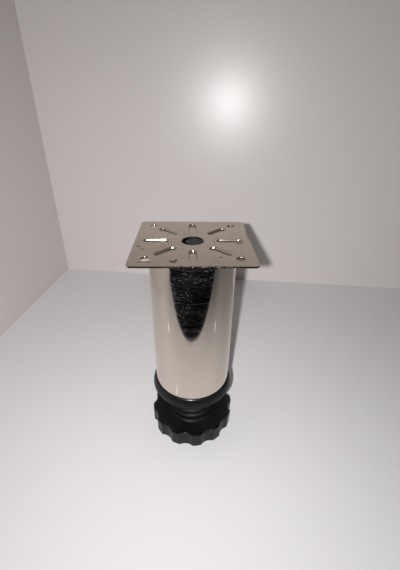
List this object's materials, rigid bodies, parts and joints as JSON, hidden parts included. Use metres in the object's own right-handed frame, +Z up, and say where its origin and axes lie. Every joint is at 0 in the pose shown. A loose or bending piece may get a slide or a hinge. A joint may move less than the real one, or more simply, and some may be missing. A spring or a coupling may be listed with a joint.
{
  "type": "adjustable cabinet leg",
  "caption": "Round plated steel cabinet leg under a square screw-on plate, with a threaded plastic levelling foot and a lobed hand wheel.",
  "frame": {"origin": "on the floor under the leg's axis", "axes": "+Z up along the leg's axis, X and Y along the plate's sides, the picture's camera on the -Y side"},
  "size_m": [0.065, 0.065, 0.144],
  "materials": {
    "plated_sheet": "satin nickel plate",
    "plated_tube": "polished nickel plate",
    "black_plastic": "moulded, slight sheen"
  },
  "bodies": {
    "leg": {"mounting_plate": "plated_sheet", "leg_tube": "plated_tube", "tube_insert": "black_plastic"},
    "foot": {"levelling_foot": "black_plastic"}
  },
  "joints": [
    {"name": "foot_height", "type": "slide", "parent": "leg", "child": "foot", "axis": [0, 0, 1], "range_m": [-0.01, 0.0254]}
  ]
}
